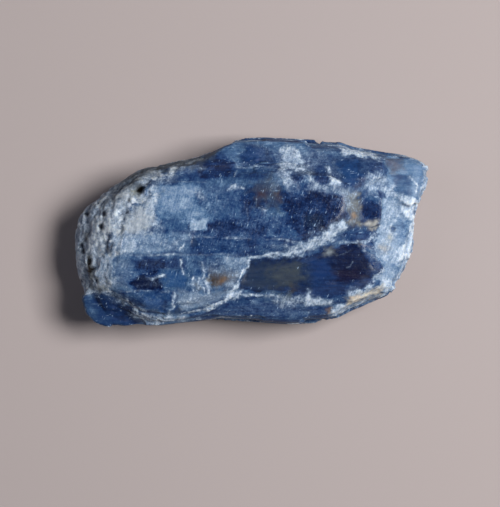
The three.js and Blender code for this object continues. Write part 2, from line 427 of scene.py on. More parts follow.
# %% The blues
BLUES = [
    ("upper blade, pale end", [(-10.8, 0.1), (-9.4, 2.7), (-7.7, 4.2), (-3, 4), (-1.2, 2.9), (-3.6, 0.9)],
        0.66, 0.9),
    ("upper blade, paler veil", [(-7.4, 4), (-5, 4), (-4.7, 2.4), (-6.2, 1.7), (-7.6, 2.2)], 0.73, 0.6),
    ("upper blade, mid left", [(-4.4, 4), (-1.4, 3.7), (-0.9, 1.9), (-3.4, 1.2), (-4.5, 2)], 0.45, 0.6),
    ("left of the square", [(-7.6, 1.2), (-5.3, 1.2), (-5.3, 0.1), (-7.6, 0.2)], 0.48, 0.3),
    ("streaked band", [(-11.5, -0.1), (-7.7, 0), (-5.3, -0.2), (-5.6, -1.6), (-11.5, -1.8)], 0.6, 0.3),
    ("below the square", [(-5.2, 0), (-0.2, 0.1), (-0.3, -1.9), (-5.2, -1.8)], 0.33, 0.4),
    ("dark with ticks", [(-3.2, 1.1), (-0.8, 1.3), (-0.5, -0.1), (-3, -0.3)], 0.24, 0.35),
    ("upper blade, middle", [(-0.9, 2.9), (1.2, 2.6), (1.4, -1.5), (-0.5, -1.8), (-0.8, 1)], 0.24, 0.5),
    ("middle glow", [(-0.1, 1.9), (0.9, 1.8), (0.9, 0.9), (-0.1, 1)], 0.36, 0.5),
    ("right glow", [(1.4, 1.4), (2.4, 1.7), (3.1, 1), (2.9, -0.3), (1.5, -0.3)], 0.33, 0.6),
    ("under the glows", [(0.2, -0.4), (4, -0.5), (2.8, -1.4), (0.3, -1.7)], 0.35, 0.35),
    ("deep dark", [(2.4, 3.2), (5.2, 3.5), (7.6, 2.9), (7.7, 0.8), (6.2, 0), (4.3, -0.7), (2.9, 0.7)],
        0.16, 0.4),
    ("shoulder", [(-8, 4.3), (-5, 6.2), (-2.4, 6.9), (-1, 6.2), (-1.1, 4.3)], 0.38, 0.4),
    ("shoulder, dark", [(-4.5, 5.6), (-2.6, 6.1), (-1.5, 5.9), (-1.4, 4.6), (-4.3, 4.7)], 0.17, 0.35),
    ("light facet", [(-2.3, 6.5), (-1.2, 7.9), (0, 7.8), (-0.3, 6.6), (-1.4, 5.6)], 0.54, 0.3),
    ("vivid facet", [(-0.5, 7.3), (1.4, 7.2), (1.7, 5.8), (-0.9, 5.6)], 0.27, 0.35),
    ("top ledge", [(-1, 5.4), (2, 5.4), (1.9, 4.6), (-1, 4.4)], 0.4, 0.3),
    ("upper edge, right", [(4.4, 7.7), (7.3, 7.5), (7.5, 6.4), (4.8, 5.9)], 0.39, 0.5),
    ("vivid right", [(6.8, 6.3), (9.6, 6), (9.3, 4.2), (8.3, 3.7), (7.2, 4.3)], 0.28, 0.4),
    ("vivid right, dark", [(8.1, 5), (9.1, 4.9), (9, 4), (8.3, 3.8)], 0.17, 0.3),
    ("dark centre", [(5.2, 5.5), (6.3, 5.5), (6.4, 4.2), (5.4, 4.1)], 0.24, 0.25),
    ("dark hollow", [(3.2, 4.9), (4.2, 4.9), (4.2, 4.1), (3.3, 4)], 0.22, 0.2),
    ("recess", [(8.7, 2.5), (9.5, 2.75), (10.4, 2.2), (10.1, 1.2), (9.5, 1.2), (8.9, 1.9)], 0.18, 0.25),
    ("small hollow", [(10.5, 3.5), (11.1, 3.4), (11.1, 3), (10.5, 3)], 0.35, 0.2),
    ("dark lens", [(7.1, -0.1), (7.9, 0.3), (9.3, 0.45), (10.2, 0.3), (9.6, -0.45), (8, -0.6), (7.2, -0.5)],
        0.33, 0.2),
    ("window", [(-0.3, -2.2), (3.4, -2), (6.2, -1.6), (7.4, -0.9), (8.7, -0.9), (10.3, -1.9), (10.9, -2.7),
        (10.3, -3.7), (10, -4.4), (8, -4.9), (6.4, -5.4), (4.9, -5.4), (3.4, -4.9), (1.2, -4.8),
        (-1.2, -4.7), (-0.5, -3.4)], 0.2, 0.15),
    ("window, ink", [(5.8, -1.4), (8.6, -1), (10.2, -2.6), (10.2, -3.6), (8.8, -4.2), (6.6, -4.3),
        (5.6, -3)], 0.05, 0.9),
    ("window, brighter", [(4.8, -2.1), (6.3, -2), (6.6, -3.6), (5, -4.3)], 0.24, 0.7),
    ("window, right", [(9, -1.4), (9.9, -1.7), (11.1, -2.6), (10.6, -3.2), (9.8, -2.6)], 0.32, 0.5),
    ("window, low", [(3.8, -4.2), (9.4, -3.8), (8.4, -4.8), (5.5, -5.3)], 0.2, 0.5),
    ("ledge", [(-5, -5.6), (-1.9, -4.8), (1.8, -5), (6.5, -5.9), (8.6, -6), (7.2, -7.6), (-5, -7.7)],
        0.38, 0.3),
    ("ledge, dark", [(-3, -6.3), (1, -5.6), (4, -6.3), (6.2, -6.9), (3, -7.2), (-2.8, -7)], 0.34, 0.4),
    ("torn layer", [(-11.7, -1.8), (-0.3, -1.9), (-0.4, -3), (-1.6, -4.8), (-11.6, -4.8)], 0.5, 0.15),
    ("torn, navy", [(-9.9, -2.2), (-8.5, -1.9), (-7, -2.1), (-6.9, -2.9), (-8.2, -3.4), (-9.6, -3.1)],
        0.17, 0.6),
    ("torn, navy right", [(-6.8, -1.9), (-5.6, -2), (-5.4, -3), (-6.7, -3.1)], 0.3, 0.3),
    ("torn, dark core", [(-9.9, -3.8), (-9, -3.3), (-7.6, -3.7), (-7.4, -4.7), (-9.6, -4.8)], 0, 0.45),
    ("torn, vivid", [(-7.3, -3.1), (-5.2, -3), (-5, -4.7), (-7.5, -4.7)], 0.46, 0.3),
    ("torn, right", [(-5, -2.1), (-2.5, -2.1), (-2.9, -3.3), (-4.9, -3.4)], 0.38, 0.3),
    ("beside the crust", [(-13.4, -1.6), (-11.5, -1.7), (-11.3, -4.7), (-12.6, -4.8), (-13.3, -3.4)],
        0.62, 0.3),
    ("pale flake", [(-2.4, -1.95), (-0.35, -2), (-0.35, -2.8), (-2, -3)], 0.68, 0.2),
    ("under the flake", [(-1.7, -3), (-0.6, -3), (-1.3, -4.5), (-2.4, -4.4)], 0.55, 0.25),
    ("low blue", [(-9.8, -5), (-6.9, -5), (-7, -6.9), (-9.2, -6.8)], 0.42, 0.3),
    ("low blue, dark", [(-7.6, -5.6), (-7, -5.5), (-7.1, -6.5), (-7.7, -6.4)], 0.22, 0.3),
    ("low grey", [(-6.2, -4.9), (-2, -4.9), (-3.6, -6), (-6, -6.6)], 0.68, 0.25),
    ("foot", [(-13.9, -5), (-11.6, -5.2), (-10.3, -5.9), (-9.6, -7.1), (-8.2, -8.3), (-13.7, -8.3)],
        0.36, 0.2),
    ("foot, ink", [(-12.9, -5.1), (-11.4, -5.3), (-10.2, -6.4), (-9.2, -7.9), (-10.6, -7.6), (-12.4, -6.4)],
        0.16, 0.5),
    ("foot, left", [(-14.2, -4.9), (-13.2, -5), (-12.9, -7.6), (-13.9, -7.1)], 0.5, 0.4),
    ("knob", [(10.6, 6.7), (14.4, 6.3), (15.3, 5), (14.3, 3.1), (12.8, 2.5), (11.5, 4)], 0.7, 0.25),
    ("knob, lower half", [(11.6, 4.8), (13.2, 5), (13.2, 3.2), (12.9, 2.8), (12, 3.4)], 0.49, 0.2),
    ("broken end", [(10.8, 3), (13.6, 2.7), (13.8, 0.5), (13.2, -2.6), (12.1, -5.2), (10.4, -4.8),
        (10.9, -2.8), (10, -0.6), (10.6, 0.8)], 0.78, 0.3),
    ("square", [(-5.2, 0.2), (-4.95, 1.2), (-3.7, 1.2), (-3.72, 0.2)], 0.86, 0.08),
    ("notch of the square", [(-4.7, 1.35), (-4.1, 1.35), (-4.2, 1.02), (-4.6, 1.02)], 0.5, 0.2),
    ("blue hollow", [(12, 1.2), (13.3, 1.1), (13.2, -0.6), (12.1, -0.4)], 0.68, 0.3),
    ("violet-blue patch", [(11.6, -2.5), (12.7, -2.5), (12.5, -3.3), (11.7, -3.3)], 0.62, 0.25),
]
print(len(BLUES), "zones of blue")

# %% [markdown]
# ## Frosted zones
# Where a blade is broken, bruised or coated with tiny flakes, light scatters and it looks white. A zone gives
# how much of the face is frosted, and how far it stands up, in mm. Under about a half it only veils the blue.
# At the right end, part of the white is painted sheen, as marked there.

# %% The frosted zones
FROSTS = [
    ("cream end", [(-11.3, 0.2), (-10.3, 1.5), (-9, 2.5), (-7.8, 3), (-7.75, 0.2), (-8.3, -0.1),
        (-11.3, -0.3)], 0.8, 0),
    ("crust border", [(-9.9, 2.2), (-8.4, 4.3), (-6.2, 5.6), (-4.5, 6.3), (-4.2, 5.4), (-7.4, 4),
        (-8.6, 2.4)], 0.6, 0),
    ("streaked band", [(-11.4, -0.2), (-7.7, -0.1), (-5.4, -0.4), (-5.7, -1.5), (-8, -1.7), (-11.4, -1.8)],
        0.48, 0),
    ("torn, right part", [(-4.2, -2.3), (-2.4, -2.2), (-0.8, -3.1), (-1.3, -4.6), (-3.4, -4.7),
        (-3.5, -3.4)], 0.42, 0),
    ("streaked band, left", [(-12, 0), (-9.8, -0.1), (-9.2, -1.6), (-12, -1.8)], 0.68, 0),
    ("beside the crust", [(-13.4, -1.5), (-11.5, -1.7), (-11.2, -4.7), (-12.6, -4.9), (-13.4, -3.4)],
        0.7, 0),
    ("edge over the foot", [(-12, -4.9), (-10.8, -5), (-9.6, -6.1), (-8.8, -6.9), (-7, -7.3), (-7.4, -7.9),
        (-9.2, -7.6), (-10.3, -6.2), (-11.4, -5.4)], 0.7, 0.02),
    ("torn layer's left end", [(-11.7, -1.8), (-10, -1.9), (-10, -4.6), (-11.5, -4.7)], 0.4, 0),
    ("flake left of the square", [(-6.9, 0), (-5.2, -0.1), (-5.2, -0.9), (-6.6, -1.3)], 0.5, 0.03),
    ("square", [(-5.2, 0.2), (-4.95, 1.1), (-3.75, 1.1), (-3.75, 0.2)], 0.45, 0.02),
    ("frost band", [(1.4, -1.5), (3.2, -0.9), (4.8, -0.35), (6.2, 0.4), (7.1, 1), (7.8, 1), (8, 0.4),
        (7.2, -0.3), (6, -1.1), (4.6, -1.7), (3, -1.9), (1.4, -1.95)], 0.82, 0.02),
    ("pale streak", [(-4.7, 3.6), (-4.2, 3.7), (-3.8, 2.7), (-4.2, 2.5)], 0.62, 0),
    ("veil of flecks", [(-7.6, 4.1), (-1, 3.9), (-0.9, 1.9), (-7.6, 0.6)], 0.2, 0),
    ("middle flecks", [(-3.2, 2.6), (1.5, 2.4), (2.8, 1.8), (2.8, -1.2), (-0.3, -1.7), (-5.2, -1.7)],
        0.16, 0),
    ("dark flecks", [(2.8, 3.2), (7.4, 3), (7.2, 0.6), (4, -0.9)], 0.14, 0),
    ("upper edge", [(-1, 7.6), (8, 7.4), (10.4, 6.8), (10.8, 5.4), (9.4, 4), (7, 3.4), (2, 4.4)], 0.25, 0),
    ("around the crest", [(1.8, 7.2), (6.6, 7.2), (6.4, 5.8), (5.4, 5.2), (4.6, 3.9), (1.9, 3.6)], 0.38, 0),
    ("white crest", [(2.3, 7), (3, 7.4), (3.7, 7), (4.4, 5.9), (4.3, 5.3), (3.4, 5.2), (2.6, 4.6),
        (2, 5.6)], 0.7, 0.03),
    ("crest's bright side", [(3.1, 7.2), (3.7, 6.9), (4.4, 5.9), (4.2, 5.4), (3.5, 6)], 0.85, 0.03),
    ("crest's foot", [(2.4, 5.4), (3.5, 5.4), (3.5, 4.2), (3.2, 3.4), (2.7, 3.7), (2.2, 4.6)], 0.62, 0.03),
    ("crest's tail", [(4.2, 5.6), (4.8, 5.4), (5.5, 4.2), (5.3, 3.8), (4.5, 4.4)], 0.66, 0.03),
    ("wedge", [(6.1, 5.5), (6.5, 5.4), (6.7, 4.8), (7.2, 4.4), (7.1, 3.95), (6.2, 3.95), (6.5, 4.5)],
        0.85, 0.06),
    ("flecks under the wedge", [(4.2, 4.2), (7.6, 4), (8.4, 3.4), (7.8, 2.9), (6.2, 3.3), (4.4, 3.5)],
        0.5, 0),
    ("ridge", [(7.2, 7.7), (9.2, 7.3), (10.6, 7), (10.6, 6.1), (8.8, 6.3), (7.3, 6.8)], 0.9, 0.03),
    ("fibres", [(9, 4.3), (10.3, 5.3), (11.4, 5), (11.5, 4.2), (12.7, 2.7), (11.4, 2.6), (10.6, 3),
        (9.3, 3.2)], 0.62, 0.03),
    ("ochre fibres", [(7.5, 3.8), (8.8, 3.6), (8.7, 2.4), (8.9, 1.2), (8.7, 0.6), (7.9, 0.3), (7.6, 1.6)],
        0.42, 0.03),
    ("white blob", [(7.3, 1), (7.8, 1), (8, 0.4), (7.3, 0.1), (6.8, 0.3)], 0.85, 0.03),
    ("broken end", [(10.6, 2.9), (12.4, 2.8), (13.3, 2.5), (13.4, 1.2), (12, 1), (11.9, -0.6), (13.1, -0.8),
        (12.9, -2.4), (11.8, -2.6), (11.9, -5.1), (10.5, -4.7), (10.7, -3.6), (11.1, -2.7), (10.4, -1.8),
        (9.9, -1), (9.9, -0.2), (10.6, 0.7)], 0.7, 0),
    # The bright rim, the right edge and the white fibres are frosted breaks, and part of their white is
    # painted sheen: the shine of light on the right end.
    ("bright rim, frost and painted sheen", [(12.1, 2.9), (13.9, 2.9), (14, 1.3), (12.6, 1.2)], 1, 0),
    ("right edge, frost and painted sheen", [(13.2, 2), (14.2, 2), (14, -1), (13.6, -3), (12.4, -5.4), (11.8, -5), (12.7, -2.6),
        (13.1, 0)], 0.92, 0),
    ("white fibres", [(11.8, -1), (13.9, -0.7), (13.4, -2.5), (11.9, -2.6)], 0.95, 0),
    ("white foot", [(10.4, -3.4), (11.3, -3.2), (12.1, -5), (10.6, -4.8)], 0.9, 0),
    ("knob veil", [(10.8, 6.4), (14.6, 6), (14.8, 4.4), (13.4, 3.2), (11.6, 4.4)], 0.14, 0),
    ("frost below the window", [(1.4, -5), (4.4, -5.1), (4.6, -6.1), (1.8, -6.2)], 0.58, 0.02),
    ("chip", [(4.55, -4.6), (4.8, -4.7), (5.1, -5.7), (4.9, -6.2), (4.3, -6.1), (4.3, -5.5)], 0.85, 0.07),
    ("smooth band", [(5, -5.5), (6.6, -5.6), (6.6, -6.1), (5, -6.2)], 0.92, 0.03),
    ("lower right edge, frost and painted sheen", [(6.4, -6.1), (8.6, -6), (11.6, -4.9), (11.4, -5.4), (8.6, -6.9), (6.6, -7.4)],
        0.8, 0),
    ("corner of the window", [(7.8, -4.9), (9.2, -4.5), (10.5, -4.7), (11, -5.4), (9, -5.9), (7.8, -5.6)],
        0.85, 0),
    ("ledge flecks", [(-4, -6.6), (1, -5.2), (6, -6.1), (6.4, -7.2), (-3.4, -7.4)], 0.26, 0),
    ("pale flake", [(-2.3, -1.8), (-0.3, -1.8), (-0.3, -2.9), (-1.9, -3)], 0.55, 0.02),
    ("under the flake", [(-1.7, -3), (-0.6, -3), (-1.3, -4.5), (-2.3, -4.4)], 0.56, 0),
    ("ribbed patch", [(-5, -3.5), (-3.5, -3.5), (-3.5, -4.8), (-5, -4.8)], 0.45, 0),
    ("torn flecks", [(-9.8, -1.9), (-5, -1.9), (-5, -4.7), (-9.8, -4.7)], 0.16, 0),
    ("white triangle", [(-2.2, -4.7), (-0.9, -4.75), (-1, -5.1), (-2.3, -5.6)], 1.05, 0.05),
    ("low grey", [(-6.2, -4.9), (-2.4, -4.9), (-3.6, -6), (-6, -6.6)], 0.5, 0.02),
    ("low flecks", [(-9.8, -5), (-7, -5), (-7, -6.8), (-9, -6.8)], 0.22, 0),
    ("lower white edge", [(-9.6, -6.8), (-7.6, -6.9), (-5.2, -6.7), (-5.6, -7.5), (-7.8, -7.8)],
        0.66, 0.03),
]
print(len(FROSTS), "frosted zones")

# %% [markdown]
# ## Places left clear
# A few faces are smooth cleavage with hardly any frost, whatever is around them. Taking frost away there at
# the end is simpler than cutting holes in the frosted zones. The number says how much of it goes.

# %% The clear places
CLEARED = [
    ("recess", [(8.7, 2.6), (9.5, 2.85), (10.5, 2.2), (10.2, 1.1), (9.5, 1.1), (8.9, 1.9)], 0.9),
    ("small hollow", [(10.5, 3.5), (11.1, 3.4), (11.1, 3), (10.5, 3)], 0.7),
    ("dark centre", [(5.2, 5.5), (6.3, 5.5), (6.4, 4.3), (5.4, 4.2)], 0.6),
    ("dark hollow", [(3.3, 4.8), (4.1, 4.8), (4.1, 4.2), (3.4, 4.1)], 0.8),
    ("knob", [(11, 6.2), (14.2, 5.9), (14.5, 4.8), (13.3, 3.6), (12.7, 3), (11.6, 4.2)], 0.25),
    ("blue hollow", [(12.1, 1), (13.2, 1), (13.1, -0.5), (12.2, -0.3)], 0.6),
    ("vivid right", [(7.2, 6.2), (9.4, 5.8), (9.2, 4.4), (8.4, 3.9), (7.4, 4.6)], 0.7),
    ("deep dark", [(3.2, 2.8), (5.2, 2.9), (7.2, 2.2), (7.3, 1), (6, 0.5), (4.3, 0.1)], 0.6),
]
print(len(CLEARED), "places left clear")

# %% [markdown]
# ## Frosted lines
# The rims of torn layers, cracks and ribs are thin white lines. Each is a line through a few places, with
# half its width in mm, how frosted it is, and how far it stands up in mm.

# %% The frosted lines
FROST_LINES = [
    ([(-11.5, -1.85), (-8, -1.8), (-4.7, -1.8), (-2.2, -1.75)], 0.09, 0.62, 0),
    ([(-0.25, -2), (0.8, -1.95), (1.8, -1.7)], 0.14, 0.9, 0.03),
    ([(1.6, -1.8), (3, -1.7), (4.6, -1.35), (5.9, -0.8), (7, 0.1), (7.8, 0.5)], 0.2, 0.9, 0.02),
    ([(-4.8, -0.35), (-2.6, -0.4), (-0.1, -0.5)], 0.09, 0.6, 0),
    ([(1.2, -0.6), (2.4, -0.55), (3.6, -0.7)], 0.1, 0.6, 0),
    ([(-8, 4.15), (-6.6, 4.25), (-3.8, 4.2)], 0.07, 0.6, 0),
    ([(-1.75, 6.3), (-1.3, 5.7), (-1.2, 5.3), (-1.5, 4.6)], 0.06, 0.75, 0),
    ([(-1.3, 5.5), (0.6, 5.5), (2.3, 5.3)], 0.08, 0.8, 0),
    ([(-2, 3.5), (-1.5, 3.8), (-0.8, 3.7)], 0.17, 0.85, 0),
    ([(-0.3, -1.9), (-0.3, -2.8), (-0.7, -3.1), (-1, -3.7), (-1.2, -4.4), (-1.9, -4.8)], 0.13, 0.95, 0.04),
    ([(-0.9, -4.8), (-2.1, -5.5), (-2.9, -5.9), (-3.7, -6.3), (-4.7, -6.5), (-5.8, -6.8)],
        0.15, 0.85, 0.04),
    ([(-11.2, -4.8), (-8, -4.8), (-4.7, -4.85)], 0.08, 0.6, 0),
    ([(-1, -5.05), (0, -5.1), (0.8, -5.1)], 0.13, 0.85, 0.03),
    ([(0.8, -5.1), (2.4, -5.2), (4.4, -5.8)], 0.14, 0.6, 0.03),
    ([(-8.3, -3.8), (-7.8, -3.6), (-7.3, -3.5)], 0.12, 0.85, 0),
    ([(-5.9, -2.2), (-5.8, -2.8), (-5.65, -3.4)], 0.08, 0.85, 0),
    ([(-4.85, -3.6), (-4.8, -4.85)], 0.11, 1, 0.04),
    ([(-4.35, -3.7), (-4.4, -4.7)], 0.08, 0.8, 0.02),
    ([(-4.1, -2.4), (-3.95, -3.2), (-4.05, -3.8)], 0.1, 0.95, 0.02),
    ([(-4.05, -4.1), (-4, -4.85)], 0.09, 0.95, 0.03),
    ([(-3.55, -3.5), (-3.7, -4.2), (-3.65, -4.9)], 0.11, 1, 0.04),
    ([(-6.4, -5), (-6.7, -6.2), (-7, -7)], 0.17, 0.8, 0.03),
    ([(-13.7, -4.75), (-12.6, -4.95), (-11.6, -5.2), (-11, -5.15), (-10.2, -5.7)], 0.14, 0.62, 0.02),
    ([(-10.4, -5.6), (-10, -6.2), (-9.5, -6.8), (-8.9, -7.2), (-8.1, -7.6), (-7.4, -7.6)], 0.24, 0.9, 0.04),
    ([(-8, -7.4), (-6, -7.5), (-4.1, -7.2)], 0.16, 0.55, 0),
    ([(7.2, -0.7), (8.6, -0.85), (9.6, -0.7), (10.2, -0.2)], 0.15, 0.7, 0.02),
    ([(8.7, -1.1), (9.8, -1.7), (10.7, -2.4)], 0.14, 0.5, 0),
    ([(10.9, -2.9), (10.3, -3.7), (10, -4.4), (8.6, -4.8)], 0.2, 0.7, 0.02),
    ([(13, 4.8), (13.4, 4.4), (13.7, 4), (13.7, 3.5), (13.4, 3.2)], 0.13, 1, 0.03),
    ([(13.6, 4.1), (14.1, 4.3)], 0.08, 0.7, 0),
    # The knob's right rim is frosted, and part of its white is a painted highlight where the knob faces the
    # light.
    ([(14.5, 5.8), (14.9, 5.1), (14.7, 4.3)], 0.2, 0.72, 0),
    ([(11.3, 1.3), (11.5, 0.7), (11.5, -0.3)], 0.13, 0.95, 0.03),
    ([(-6.4, -0.9), (-6.3, -1.3)], 0.09, 0.85, 0),
    ([(-5.5, -0.6), (-5.6, -1), (-5.85, -1.3)], 0.1, 0.9, 0),
    ([(-14.1, -5), (-14.15, -6), (-13.8, -7)], 0.12, 0.6, 0),
    ([(7, -1.9), (7.7, -1.7), (8.2, -1.4)], 0.06, 0.4, 0),
    ([(9.6, -2.6), (10.3, -3.3)], 0.1, 0.35, 0),
    ([(-13.4, -5.9), (-12.5, -5.9)], 0.05, 0.6, 0),
    ([(-10.6, -3.2), (-9.6, -3.25)], 0.06, 0.7, 0),
    ([(-0.4, 2), (-0.4, 1.4)], 0.06, 0.7, 0),
    ([(0.4, 2.8), (0.35, 2.2)], 0.06, 0.7, 0),
    ([(-2.9, 3.1), (-2.85, 2.5)], 0.06, 0.6, 0),
    ([(0.9, 1.9), (1.4, 1.9)], 0.07, 0.7, 0),
    ([(7.8, -2.9), (8.1, -2.7), (8.3, -2.4)], 0.06, 0.7, 0),
    ([(-7.1, 5), (-6.5, 5.25)], 0.07, 0.7, 0),
    ([(-5.5, 5.7), (-4.6, 5.9)], 0.07, 0.7, 0),
    ([(6.4, 2.1), (7.3, 2.2)], 0.08, 0.6, 0),
]
print(len(FROST_LINES), "frosted lines")

# %% [markdown]
# ## Tints
# A tint lies inside the crystal, under the frost. Iron stains it olive, brown or grey, one place is violet,
# and where the crystal is cleanest its blue is purer. Each has a colour and how strong it is.

# %% The tints
TINTS = [
    ("vivid right", [(7.2, 6.2), (9.4, 5.9), (9.2, 4.2), (8.3, 3.7), (7.2, 4.4)], "#174a88", 0.65),
    ("vivid facet", [(-0.7, 7.2), (1.3, 7.1), (1.6, 5.9), (-0.9, 5.8)], "#15407a", 0.7),
    ("torn, vivid", [(-7.3, -3.2), (-5.4, -3.1), (-5.2, -4.6), (-7.4, -4.6)], "#2a5994", 0.65),
    ("low blue", [(-9.2, -5.2), (-7.2, -5.2), (-7.2, -6.6), (-8.9, -6.6)], "#265596", 0.65),
    ("foot", [(-13.8, -5.2), (-11.6, -5.4), (-9.4, -7.6), (-10.2, -8.2), (-13.2, -7.8)], "#183e76", 0.55),
    ("window, brighter", [(4.6, -2.1), (6.6, -2), (6.8, -3.6), (4.8, -4.3)], "#12346c", 0.7),
    ("brown veil", [(1.6, 4.9), (0.4, 4.2), (-0.4, 3.7), (0.2, 2.9), (0.6, 2.2), (2.3, 2.1), (2.5, 3.2),
        (1.9, 4.2)], "#45454e", 0.6),
    ("red-brown", [(0.5, 3.3), (1.1, 3.4), (1, 2.9), (0.5, 2.9)], "#402c30", 0.6),
    ("brown beside it", [(1.9, 3.2), (2.4, 3.1), (2.4, 2.6), (1.9, 2.7)], "#4a3c3a", 0.6),
    ("olive window", [(-0.4, -2.4), (3.6, -2.4), (4.8, -3.2), (4.4, -4.4), (3, -4.8), (-1, -4.6)],
        "#2b3a4c", 0.65),
    ("olive core", [(1.2, -3.4), (2, -2.7), (3.4, -2.7), (4.2, -3.4), (3.6, -4.3), (2.2, -4.4)],
        "#454b4c", 0.5),
    ("brown spot", [(3.1, -4.3), (3.5, -4.3), (3.5, -4.9), (3.1, -4.9)], "#3b3530", 0.7),
    ("violet window", [(6.7, -3.3), (7.9, -3), (9.4, -3.2), (9.6, -3.7), (7.8, -4.1), (6.9, -3.9)],
        "#1b0f30", 0.6),
    ("olive dark", [(4.3, 1.4), (5.9, 1.5), (5.9, 0.4), (4.5, 0.3)], "#1f2e42", 0.5),
    ("low grey", [(-6.2, -5), (-2, -4.9), (-3.6, -6), (-6, -6.5)], "#8790a2", 0.5),
    ("torn, grey", [(-3.4, -2.9), (-1, -2.9), (-1.4, -4.5), (-3.2, -4.6)], "#777b86", 0.55),
    ("rust trail", [(-2.5, -3.3), (-1, -3.3), (-1.2, -3.9), (-2.4, -4)], "#6b6a6c", 0.6),
    ("rib ochre", [(-4.6, -4.1), (-4.1, -4.1), (-4.1, -4.6), (-4.5, -4.6)], "#7c7565", 0.7),
    ("ochre", [(7.7, 3.4), (8.8, 3.3), (9, 0.7), (8, 0.5)], "#8f8e80", 0.7),
    ("ledge olive", [(2.4, -5.2), (3.2, -5.2), (3.2, -5.7), (2.5, -5.6)], "#5f6657", 0.6),
    ("knob stain", [(10.9, 6.4), (12.4, 6.4), (12.6, 5.4), (11.9, 5), (11.1, 5.5)], "#4d4c62", 0.75),
]
print(len(TINTS), "tints")

# %% [markdown]
# ## Dirt, rust, painted shade and painted light
# Dirt, clay and rust lie on top of everything, in hollows and along cracks, so they are laid last. Rust has
# a dark core with an orange rim, which takes three patches, one over another. The list also holds painted
# shade and one patch of painted light, each marked where it stands.

# %% The dirt, painted shade and painted light
DIRT_AND_SHADING = [
    # These two dark patches are painted shade over the crust's upper side and its rim, not dirt.
    ("painted shade, upper side", [(-13.8, 2.2), (-10.9, 5.2), (-7, 7), (-2.6, 8), (-3.4, 6.2), (-7.4, 4.9),
        (-9.6, 3.9), (-11, 2.4)], "#454d59", 0.55),
    ("painted shade, upper rim", [(-10.9, 4.5), (-7.5, 6.4), (-3.4, 7.4), (-3.6, 6.2), (-7.6, 5.2), (-10, 4.1)],
        "#3b424c", 0.8),
    ("cream end", [(-11.4, 0.1), (-10.3, 1.5), (-9, 2.3), (-8.3, 2), (-8.5, 0.2), (-9.6, -0.2)],
        "#c6c9ca", 0.45),
    ("olive halo", [(-9.9, 3.7), (-9.2, 3.6), (-9.2, 3.1), (-9.8, 3)], "#6d6d56", 0.75),
    # The cleft is a crack in the crust, and its near-black is painted shade.
    ("cleft", [(-13.9, -1.8), (-13.5, -1.8), (-13.2, -3.4), (-13.6, -3.6)], "#231c19", 0.92),
    ("brown by the cleft", [(-13.7, -3.3), (-13.1, -3.3), (-12.8, -4), (-13.4, -4.1)], "#4a453f", 0.7),
    ("brown grain", [(-14.2, 0.1), (-13.7, 0.2), (-13.8, -0.6), (-14.2, -0.5)], "#5b5548", 0.7),
    ("brown hollow", [(-12.1, -1.1), (-11.6, -1), (-11.7, -1.6), (-12.1, -1.6)], "#5c574f", 0.75),
    ("low olive", [(-14, -4.3), (-12, -4.4), (-12, -4.9), (-13.9, -4.8)], "#7d8580", 0.5),
    ("ochre core", [(8, 1.7), (8.6, 1.7), (8.6, 1), (8.1, 1)], "#96785a", 0.75),
    ("beige lens", [(9.3, 0.7), (9.8, 1), (10.4, 0.9), (10.2, 0.3), (9.5, 0.3)], "#bcbdb9", 0.85),
    ("beige chip", [(5.9, -1.4), (6.8, -1.3), (6.8, -1.8), (6, -1.9)], "#8d98a3", 0.8),
    # A pale streak with some orange in it. It is painted lighter than its own colour, and that extra lightness
    # is painted light that offsets the shade of the slope it lies on.
    ("orange streak, painted lighter", [(8, -5.4), (9.4, -5), (11, -4.7), (10.9, -5.3), (9.2, -5.7), (7.9, -6.2)],
        "#ece4d2", 0.9),
    ("orange core", [(8, -5.4), (8.9, -5.1), (8.9, -5.3), (8.1, -5.6)], "#bb9466", 0.5),
    ("rust", [(-3.5, -3.5), (-2.4, -3.4), (-2, -3.8), (-2.6, -4.3), (-3.4, -4.3)], "#5b5048", 0.75),
    ("rust rim", [(-2.8, -3.75), (-2.4, -3.75), (-2.4, -4.15), (-2.8, -4.2)], "#86602f", 0.6),
    ("rust core", [(-3.45, -3.6), (-2.7, -3.55), (-2.65, -4.2), (-3.3, -4.3)], "#2c211a", 0.9),
    ("orange spot", [(6.2, -6.3), (6.6, -6.2), (6.5, -6.7), (6.2, -6.7)], "#94764f", 0.7),
    ("cream spot", [(11.1, -0.1), (11.5, 0), (11.5, -0.6), (11.1, -0.6)], "#c9ccc6", 0.7),
    ("cream trail", [(10.6, -0.9), (11.4, -1.1), (11.3, -1.5), (10.6, -1.4)], "#c4c0bd", 0.6),
]
print(len(DIRT_AND_SHADING), "patches of dirt")

# %% [markdown]
# ## Pits
# Loose grains fell out of the crust and left small holes, and a few chips left hollows in the blades. Real
# holes catch shadow from every side, so they are pressed into the skin, and each is also given a dark colour,
# which is painted shade.

# %% The pits
# The colour of each pit is painted shade.
PITS = [  # place, half its width and its depth in mm, colour
    ((-9.25, 3.68), 0.29, 0.75, "#0d0a0a"),
    ((-12.3, 1.58), 0.22, 0.3, "#2b3040"),
    ((-12.45, 0.54), 0.2, 0.3, "#2b3040"),
    ((-13.8, 1.63), 0.2, 0.3, "#2b3040"),
    ((-14.4, -1), 0.2, 0.3, "#262b3a"),
    ((-14.2, -1.5), 0.2, 0.3, "#262b3a"),
    ((-14.4, -4), 0.16, 0.25, "#262b3a"),
    ((-10.2, 2.7), 0.13, 0.15, "#3a3f4a"),
    ((-13.6, -2.4), 0.26, 0.4, "#1d1714"),
    ((-13.4, -3.1), 0.2, 0.35, "#1d1714"),
    ((11.72, 0.3), 0.2, 0.25, "#35507c"),
    ((-6.1, -6.4), 0.24, 0.1, "#2b4064"),
    ((-4.85, -0.8), 0.26, 0.03, "#22365a"),
]
print(len(PITS), "pits")

# %% [markdown]
# ## Wandering outlines
# Straight outlines would look drawn. So before a zone is measured, every point's place is shifted by ripples
# of several sizes, and the outline comes out wandering and torn. Small zones are shifted less, or they would
# be lost. Only points well above the floor that don't face down are worked on, which saves time.

# %% Shift the places and set a softness
ZONES_ABOVE = 2.0  # mm above the floor

